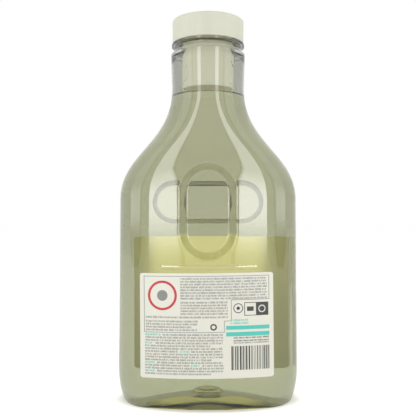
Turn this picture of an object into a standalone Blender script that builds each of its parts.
"""A laundry detergent bottle of about one litre, with a screw-on dosing cap.

The clear bottle is blown in one piece: a flat oval body with a rounded foot and
a pushed-up base, a sloping shoulder, a round neck and a moulded neck finish. A
tall thumb pocket is pressed into its back and a wide finger pocket into its
front. The white cap carries a measuring cup that hangs inside the neck. The
detergent fills the bottle to its neck, and a label lies on each broad face.

Lengths are in metres, +Z is up and the back of the bottle faces -Y.
"""

import math
from collections import namedtuple

import bmesh
import bpy

# Blown body
FOOT_WIDTH = 0.1208
WAIST_WIDTH = 0.1187
BODY_DEPTH = 0.0590
FACE_SPREAD = math.radians(13.0)
FOOT_HEIGHT = 0.0214
FOOT_INSET = 0.0048
FOOT_TOE = 0.0014
FOOT_HEEL = 0.0098
WALL = 0.0009
GAP = 0.0003

# Shoulder and neck
SHOULDER_START = 0.1352
SHOULDER_RISE = 0.0302
NECK_FALL = 0.0363
DEPTH_HOLD = 0.6
NECK_TOP = 0.2328
NECK_LENGTH = 0.0236
NECK_TAPER = 0.0013
NECK_EDGE_RADIUS = 0.0009

# Pushed-up base
STANDING_RING = 0.0032
PUSH_UP = 0.0062
GATE_DIAMETER = 0.0210
GATE_HEIGHT = 0.0030
GATE_DRAFT = 0.0014

# Dosing cap, from its measuring cup out to its skirt
CUP_DIAMETER = 0.0350
CUP_WALL = 0.0011
CUP_DEPTH = 0.0461
CUP_DRAFT = 0.0002
CUP_CLEARANCE = 0.0021
SEAL_WALL = 0.0006
SEAL_DEPTH = 0.0030
CAP_HEIGHT = 0.0152
CAP_WALL = 0.0013
CAP_TOP_WALL = 0.0014
CAP_ROUND = 0.0007

# Neck finish that the cap fits over
FINISH_WALL = 0.0021
THREAD_ROOM = 0.0011
BEAD_PROUD = 0.0005
BEAD_HEIGHT = 0.0021
BEAD_ROUND = 0.0005
GROOVE_DEPTH = 0.0022
GROOVE_FLOOR = 0.0006
NECK_PROUD = 0.00095
NECK_SLOPE = 0.0041
MOUTH_ROUND = 0.0005

# Detergent and labels
FILL_BELOW_CUP = 0.0055
LABEL_THICKNESS = 0.0002
LABEL_CORNER = 0.0028

# How finely round forms are divided
FACE_STEPS = 8
SIDE_STEPS = 16
SHOULDER_STEPS = 12
FOOT_STEPS = 5
BASE_STEPS = 4
CAP_STEPS = 56
ROUND_STEPS = 3
POCKET_END_STEPS = 10
POCKET_PITCH = 0.0052
LABEL_PITCH = 0.0040
LABEL_ROW_PITCH = 0.0300

# A ring of the blown form: an oval of four arcs at one height
Level = namedtuple("Level", "half_width half_depth z")

# A grip pocket: an obround pressed into one broad face, with a drafted wall
Pocket = namedtuple("Pocket", "side middle height width depth run lip fillet")
BACK_POCKET = Pocket(
    side=-1, middle=0.1268, height=0.0617, width=0.0359,
    depth=0.0090, run=0.0042, lip=0.0022, fillet=0.0016,
)
FRONT_POCKET = Pocket(
    side=1, middle=0.1329, height=0.0295, width=0.0720,
    depth=0.0090, run=0.0032, lip=0.0022, fillet=0.0016,
)

# A label: its flat size, its lower edge above the foot, its shift and its small tilt
Label = namedtuple("Label", "side width height above shift tilt")
BACK_LABEL = Label(
    side=-1, width=0.0859, height=0.0665, above=0.0,
    shift=-0.0008, tilt=math.radians(0.5),
)
FRONT_LABEL = Label(
    side=1, width=0.1010, height=0.0920, above=-0.0044,
    shift=0.0026, tilt=0.0,
)

# Radii that follow outward from the measuring cup
CUP_RADIUS = CUP_DIAMETER / 2
BORE_RADIUS = CUP_RADIUS + CUP_CLEARANCE
FINISH_RADIUS = BORE_RADIUS + FINISH_WALL
SKIRT_RADIUS = FINISH_RADIUS + THREAD_ROOM
CAP_RADIUS = SKIRT_RADIUS + CAP_WALL
BEAD_RADIUS = CAP_RADIUS + BEAD_PROUD
GROOVE_RADIUS = BEAD_RADIUS - GROOVE_DEPTH
NECK_TOP_RADIUS = CAP_RADIUS + NECK_PROUD
NECK_RADIUS = NECK_TOP_RADIUS - NECK_TAPER / 2

# Heights that follow upward from the neck
NECK_START = NECK_TOP - NECK_LENGTH
GROOVE_TOP = NECK_TOP + NECK_SLOPE + GROOVE_FLOOR
BEAD_TOP = GROOVE_TOP + BEAD_HEIGHT
CAP_BOTTOM = BEAD_TOP + GAP
CAP_TOP = CAP_BOTTOM + CAP_HEIGHT
CAP_ROOF = CAP_TOP - CAP_TOP_WALL
MOUTH = CAP_ROOF - GAP
CUP_RIM = CAP_TOP - CUP_DEPTH
FILL_HEIGHT = CUP_RIM - FILL_BELOW_CUP


def clear_scene():
    for thing in list(bpy.data.objects):
        bpy.data.objects.remove(thing, do_unlink=True)


def material(name, colour, roughness, transmission=0.0, ior=1.5):
    """A Principled material; the bottle and its contents let light through."""
    made = bpy.data.materials.new(name)
    made.use_nodes = True
    shader = made.node_tree.nodes["Principled BSDF"]
    shader.inputs["Base Color"].default_value = (*colour, 1.0)
    shader.inputs["Roughness"].default_value = roughness
    shader.inputs["Metallic"].default_value = 0.0
    shader.inputs["Transmission Weight"].default_value = transmission
    shader.inputs["IOR"].default_value = ior
    return made


def cubic(points, t):
    """A point of a cubic curve in the plane of half width and height."""
    weights = ((1 - t) ** 3, 3 * (1 - t) ** 2 * t, 3 * (1 - t) * t * t, t ** 3)
    return tuple(sum(w * p[k] for w, p in zip(weights, points)) for k in (0, 1))


def foot_curve(t):
    """The rounded foot, from where it stands up to the full width."""
    half = FOOT_WIDTH / 2
    toe = half - FOOT_INSET
    return cubic(((toe, 0), (toe + FOOT_TOE, 0), (half, FOOT_HEEL), (half, FOOT_HEIGHT)), t)


def shoulder_curve(t):
    """The shoulder, from the top of the body in to the round neck."""
    half = WAIST_WIDTH / 2
    start = (half, SHOULDER_START)
    leaving = (half, SHOULDER_START + SHOULDER_RISE)
    arriving = (NECK_RADIUS, NECK_START - NECK_FALL)
    return cubic((start, leaving, arriving, (NECK_RADIUS, NECK_START)), t)


def width_on(curve, z):
    """The half width where a rising curve passes the height z."""
    low, high = 0.0, 1.0
    for _ in range(40):
        middle = (low + high) / 2
        if curve(middle)[1] < z:
            low = middle
        else:
            high = middle
    return curve((low + high) / 2)[0]


def round_level(radius, z):
    return Level(radius, radius, z)


def level_at(z):
    """The ring of the outer skin at a height between the foot and the neck's top."""
    half_depth = BODY_DEPTH / 2
    if z <= FOOT_HEIGHT:
        half_width = width_on(foot_curve, z)
        half_depth -= FOOT_WIDTH / 2 - half_width
        return Level(half_width, half_depth, z)
    if z <= SHOULDER_START:
        rise = (z - FOOT_HEIGHT) / (SHOULDER_START - FOOT_HEIGHT)
        half_width = (FOOT_WIDTH + (WAIST_WIDTH - FOOT_WIDTH) * rise) / 2
        return Level(half_width, half_depth, z)
    if z < NECK_START:
        half_width = width_on(shoulder_curve, z)
        share = (half_width - NECK_RADIUS) / (WAIST_WIDTH / 2 - NECK_RADIUS)
        depth = NECK_RADIUS + (half_depth - NECK_RADIUS) * share ** DEPTH_HOLD
        return Level(max(half_width, depth), depth, z)
    rise = (z - NECK_START) / (NECK_TOP - NECK_START)
    return round_level(NECK_RADIUS + (NECK_TOP_RADIUS - NECK_RADIUS) * rise, z)


def arcs_of(level):
    """The radii of a ring's broad and end arcs, and how far apart their centres lie."""
    turn = math.sin(FACE_SPREAD) + math.cos(FACE_SPREAD) - 1
    apart = (level.half_width - level.half_depth) / turn
    end = level.half_width - apart * math.sin(FACE_SPREAD)
    return end + apart, end, apart


def ring_point(level, normal, proud=0.0):
    """The point of a ring's back right quarter whose normal turns this far from -Y."""
    face, end, apart = arcs_of(level)
    if normal <= FACE_SPREAD:
        x = (face + proud) * math.sin(normal)
        return x, face - level.half_depth - (face + proud) * math.cos(normal)
    x = apart * math.sin(FACE_SPREAD) + (end + proud) * math.sin(normal)
    return x, -(end + proud) * math.cos(normal)


def ring_outline(level):
    """The ring's points once round, with each arc divided evenly."""
    half_face, half_side = FACE_STEPS // 2, SIDE_STEPS // 2
    end_turn = math.pi / 2 - FACE_SPREAD
    normals = [FACE_SPREAD * k / half_face for k in range(half_face)]
    normals += [FACE_SPREAD + end_turn * k / half_side for k in range(half_side)]
    back = [ring_point(level, normal) for normal in normals]
    side = [(level.half_width, 0.0)]
    front = [(x, -y) for x, y in reversed(back)]
    right = back + side + front
    left = [(-x, y) for x, y in reversed(right[1:-1])]
    return right + left


def face_depth(level, x):
    """How far out a broad face lies at this distance to the side."""
    face, end, apart = arcs_of(level)
    if abs(x) <= face * math.sin(FACE_SPREAD):
        return math.sqrt(face * face - x * x) - (face - level.half_depth)
    reach = abs(x) - apart * math.sin(FACE_SPREAD)
    return math.sqrt(max(end * end - reach * reach, 0.0))


def base_levels():
    """The gate boss and the push-up, from the middle out to the standing ring."""
    gate = GATE_DIAMETER / 2
    ring = level_at(0.0)
    rim_width = ring.half_width - STANDING_RING
    rim_depth = ring.half_depth - STANDING_RING
    levels = [
        round_level(gate - 2 * GATE_DRAFT, PUSH_UP + GATE_HEIGHT),
        round_level(gate - GATE_DRAFT, PUSH_UP + GATE_HEIGHT - GATE_DRAFT / 2),
        round_level(gate, PUSH_UP),
    ]
    for k in range(1, BASE_STEPS + 1):
        out = k / BASE_STEPS
        half_width = gate + (rim_width - gate) * out
        half_depth = gate + (rim_depth - gate) * out
        levels.append(Level(half_width, half_depth, PUSH_UP * (1 - out ** 1.5)))
    return levels


def wall_levels():
    """Rings of the outer skin from the standing ring to the top of the neck."""
    heights = [foot_curve(k / FOOT_STEPS)[1] for k in range(FOOT_STEPS + 1)]
    heights.append((FOOT_HEIGHT + SHOULDER_START) / 2)
    heights += [shoulder_curve(k / SHOULDER_STEPS)[1] for k in range(SHOULDER_STEPS + 1)]
    heights.append(NECK_TOP - NECK_EDGE_RADIUS)
    return [level_at(z) for z in heights]


def finish_levels():
    """The neck's edge, the groove, the transfer bead and the wall under the cap."""
    return [
        round_level(NECK_TOP_RADIUS - NECK_EDGE_RADIUS / 3, NECK_TOP),
        round_level(GROOVE_RADIUS, NECK_TOP + NECK_SLOPE),
        round_level(GROOVE_RADIUS, GROOVE_TOP),
        round_level(BEAD_RADIUS - BEAD_ROUND, GROOVE_TOP + BEAD_ROUND / 4),
        round_level(BEAD_RADIUS, GROOVE_TOP + BEAD_ROUND),
        round_level(BEAD_RADIUS, BEAD_TOP - BEAD_ROUND),
        round_level(BEAD_RADIUS - BEAD_ROUND, BEAD_TOP),
        round_level(FINISH_RADIUS, BEAD_TOP),
        round_level(FINISH_RADIUS, MOUTH - MOUTH_ROUND),
        round_level(FINISH_RADIUS - MOUTH_ROUND, MOUTH),
    ]


def bore_levels():
    """The inside of the neck above its walls, out through the mouth."""
    shelf = NECK_TOP - NECK_EDGE_RADIUS
    return [
        round_level((BORE_RADIUS + NECK_TOP_RADIUS) / 2, (shelf + BEAD_TOP) / 2),
        round_level(BORE_RADIUS, BEAD_TOP),
        round_level(BORE_RADIUS, MOUTH + BEAD_HEIGHT),
    ]


def inset_levels(levels, inset):
    """The same rings moved squarely inward from the skin."""
    moved = []
    for k, level in enumerate(levels):
        before, after = levels[max(k - 1, 0)], levels[min(k + 1, len(levels) - 1)]
        out, up = after.half_width - before.half_width, after.z - before.z
        length = math.hypot(out, up)
        inward, upward = inset * up / length, inset * out / length
        half_width, half_depth = level.half_width - inward, level.half_depth - inward
        moved.append(Level(half_width, half_depth, level.z + upward))
    return moved


def filled_levels(inset):
    """Rings of the contents, inset from the skin and level at the fill height."""
    below = [level for level in inset_levels(base_levels() + wall_levels(), inset)
             if level.z < FILL_HEIGHT - GAP or level.half_depth < GATE_DIAMETER]
    surface = level_at(FILL_HEIGHT)
    top = Level(surface.half_width - inset, surface.half_depth - inset, FILL_HEIGHT)
    return below + [top]


def new_object(name, form, finish=None):
    """An object from a finished bmesh, smooth away from its sharp edges."""
    mesh = bpy.data.meshes.new(name)
    bmesh.ops.recalc_face_normals(form, faces=form.faces)
    form.to_mesh(mesh)
    form.free()
    mesh.shade_smooth()
    mesh.set_sharp_from_angle(angle=math.radians(35))
    made = bpy.data.objects.new(name, mesh)
    bpy.context.scene.collection.objects.link(made)
    if finish:
        mesh.materials.append(finish)
    return made


def loft(name, outlines, finish=None):
    """A closed solid through outlines of equally many points, first to last."""
    form = bmesh.new()
    rings = [[form.verts.new(point) for point in outline] for outline in outlines]
    for low, high in zip(rings, rings[1:]):
        for k in range(len(low)):
            after = (k + 1) % len(low)
            form.faces.new((low[k], low[after], high[after], high[k]))
    form.faces.new(rings[0])
    form.faces.new(rings[-1])
    return new_object(name, form, finish)


def blown_form(name, levels, finish=None):
    """The solid inside one set of rings."""
    outlines = [[(x, y, level.z) for x, y in ring_outline(level)] for level in levels]
    return loft(name, outlines, finish)


def as_cutter(tool):
    tool.hide_render = True
    tool.display_type = "WIRE"
    return tool


def cut(target, tool):
    boolean = target.modifiers.new("cut_" + tool.name, "BOOLEAN")
    boolean.operation = "DIFFERENCE"
    boolean.solver = "EXACT"
    boolean.object = tool


def obround(pocket, spread):
    """The pocket's outline grown by a spread, as points of the face's own plane."""
    radius = min(pocket.height, pocket.width) / 2
    straight = max(pocket.height, pocket.width) / 2 - radius
    runs = max(2, round(2 * straight / POCKET_PITCH))
    end_turns = [math.pi * k / POCKET_END_STEPS for k in range(POCKET_END_STEPS)]
    points = []
    for turn in (1, -1):
        for k in range(runs):
            along = straight * (2 * k / runs - 1)
            points.append((turn * along, turn * (radius + spread)))
        for angle in end_turns:
            along = straight + (radius + spread) * math.sin(angle)
            points.append((turn * along, turn * (radius + spread) * math.cos(angle)))
    if pocket.height > pocket.width:
        return [(across, along) for along, across in points]
    return points


def pocket_section(pocket, inset):
    """Pairs of spread past the rim and depth, from the face over the lip to the floor."""
    slope = math.atan2(pocket.depth, pocket.run)
    lip_start = pocket.lip * math.tan(slope / 2)
    floor_start = -pocket.run - pocket.fillet * math.tan(slope / 2)
    turns = [slope * k / ROUND_STEPS for k in range(ROUND_STEPS + 1)]
    lip, fillet = pocket.lip - inset, pocket.fillet + inset
    section = [(lip_start - lip * math.sin(t), pocket.lip - lip * math.cos(t)) for t in turns]
    floor = pocket.depth - pocket.fillet
    section += [
        (floor_start + fillet * math.sin(t), floor + fillet * math.cos(t)) for t in turns[::-1]
    ]
    return section


def pocket_cutter(name, pocket, inset):
    """What the pocket removes from a form that is inset this far from the skin.

    Its lip follows the curved face, and its floor is flat.
    """
    middle = face_depth(level_at(pocket.middle), 0.0)
    section = pocket_section(pocket, inset)
    start = section[0][0] + 2 * GAP
    clear_of_face = [(start, -BODY_DEPTH / 4), (start, inset - GAP / 2)]
    outlines = []
    for spread, depth in clear_of_face + section:
        flatness = min(max((depth - inset) / pocket.depth, 0.0), 1.0)
        outline = []
        for x, up in obround(pocket, spread):
            z = pocket.middle + up
            face = face_depth(level_at(z), x)
            out = face + (middle - face) * flatness - depth
            outline.append((x, pocket.side * out, z))
        outlines.append(outline)
    return as_cutter(loft(name, outlines))


def press_pockets(form, inset):
    for word, pocket in (("back", BACK_POCKET), ("front", FRONT_POCKET)):
        cut(form, pocket_cutter(f"{word}_pocket_of_{form.name}", pocket, inset))


def make_bottle(finish):
    """The blown shell: the outer form less its pockets and its hollow."""
    bottle = blown_form("bottle", base_levels() + wall_levels() + finish_levels(), finish)
    press_pockets(bottle, 0.0)
    hollow_levels = inset_levels(base_levels() + wall_levels(), WALL) + bore_levels()
    hollow = as_cutter(blown_form("hollow", hollow_levels))
    press_pockets(hollow, WALL)
    cut(bottle, hollow)
    return bottle


def make_detergent(finish):
    """The liquid, a small gap inside the shell, with a level top."""
    inset = WALL + GAP
    detergent = blown_form("detergent", filled_levels(inset), finish)
    press_pockets(detergent, inset)
    return detergent


def cap_section():
    """The cap's half section, from its middle out, down the skirt and up the cup."""
    corner = [math.pi / 2 * k / ROUND_STEPS for k in range(ROUND_STEPS + 1)]
    centre = (CAP_RADIUS - CAP_ROUND, CAP_TOP - CAP_ROUND)
    seal_out = BORE_RADIUS - GAP
    section = [(0.0, CAP_TOP)]
    section += [
        (centre[0] + CAP_ROUND * math.sin(a), centre[1] + CAP_ROUND * math.cos(a)) for a in corner
    ]
    section += [
        (CAP_RADIUS, CAP_BOTTOM),
        (SKIRT_RADIUS, CAP_BOTTOM),
        (SKIRT_RADIUS, CAP_ROOF),
        (seal_out, CAP_ROOF),
        (seal_out, CAP_ROOF - SEAL_DEPTH),
        (seal_out - SEAL_WALL, CAP_ROOF - SEAL_DEPTH),
        (seal_out - SEAL_WALL, CAP_ROOF),
        (CUP_RADIUS, CAP_ROOF),
        (CUP_RADIUS - CUP_DRAFT, CUP_RIM),
        (CUP_RADIUS - CUP_DRAFT - CUP_WALL, CUP_RIM),
        (CUP_RADIUS - CUP_WALL, CAP_ROOF),
        (0.0, CAP_ROOF),
    ]
    return section


def make_cap(finish):
    """The cap turned from its half section."""
    form = bmesh.new()
    points = [form.verts.new((r, 0.0, z - CAP_BOTTOM)) for r, z in cap_section()]
    for above, below in zip(points, points[1:]):
        form.edges.new((above, below))
    mesh = bpy.data.meshes.new("dosing_cap")
    form.to_mesh(mesh)
    form.free()
    cap = bpy.data.objects.new("dosing_cap", mesh)
    cap.location.z = CAP_BOTTOM
    bpy.context.scene.collection.objects.link(cap)
    mesh.materials.append(finish)
    turned = cap.modifiers.new("turned", "SCREW")
    turned.axis = "Z"
    turned.steps = CAP_STEPS
    turned.render_steps = CAP_STEPS
    turned.use_merge_vertices = True
    turned.merge_threshold = 0.00001
    turned.use_smooth_shade = True
    return cap


def label_columns(label):
    """Distances from the label's middle, with how much its corners shorten each one."""
    flat = label.width / 2 - LABEL_CORNER
    runs = max(2, round(2 * flat / LABEL_PITCH))
    columns = [(flat * (2 * k / runs - 1), 0.0) for k in range(runs + 1)]
    for k in range(1, ROUND_STEPS + 1):
        turn = math.pi / 2 * k / ROUND_STEPS
        reach = flat + LABEL_CORNER * math.sin(turn)
        drop = LABEL_CORNER * (1 - math.cos(turn))
        columns = [(-reach, drop)] + columns + [(reach, drop)]
    return columns


def wrapped(label, along, up, proud):
    """A flat point of the label laid round the oval body, proud of the skin."""
    turned = along * math.cos(label.tilt) - up * math.sin(label.tilt) + label.shift
    middle = FOOT_HEIGHT + label.above + label.height / 2
    z = middle + up * math.cos(label.tilt) + along * math.sin(label.tilt)
    level = level_at(z)
    face, end, _ = arcs_of(level)
    face_length = face * FACE_SPREAD
    reach = abs(turned)
    if reach <= face_length:
        normal = reach / face
    else:
        normal = FACE_SPREAD + (reach - face_length) / end
    x, y = ring_point(level, normal, proud)
    return math.copysign(x, turned), -label.side * y, z


def make_label(name, label, finish):
    """A thin sheet with rounded corners on one broad face."""
    rows = max(2, round(label.height / LABEL_ROW_PITCH))
    outlines = []
    for along, drop in label_columns(label):
        top = label.height / 2 - drop
        ups = [top * (2 * k / rows - 1) for k in range(rows + 1)]
        outline = [wrapped(label, along, up, GAP) for up in ups]
        outline += [wrapped(label, along, up, GAP + LABEL_THICKNESS) for up in reversed(ups)]
        outlines.append(outline)
    return loft(name, outlines, finish)


def main():
    clear_scene()
    clear_plastic = material("clear_plastic", (0.80, 0.81, 0.76), 0.05, 1.0, 1.57)
    liquid = material("detergent_liquid", (0.84, 0.84, 0.66), 0.02, 1.0, 1.36)
    white_plastic = material("white_plastic", (0.74, 0.74, 0.62), 0.35)
    white_paper = material("white_paper", (0.80, 0.79, 0.72), 0.50)
    make_bottle(clear_plastic)
    make_detergent(liquid)
    make_cap(white_plastic)
    make_label("back_label", BACK_LABEL, white_paper)
    make_label("front_label", FRONT_LABEL, white_paper)


main()
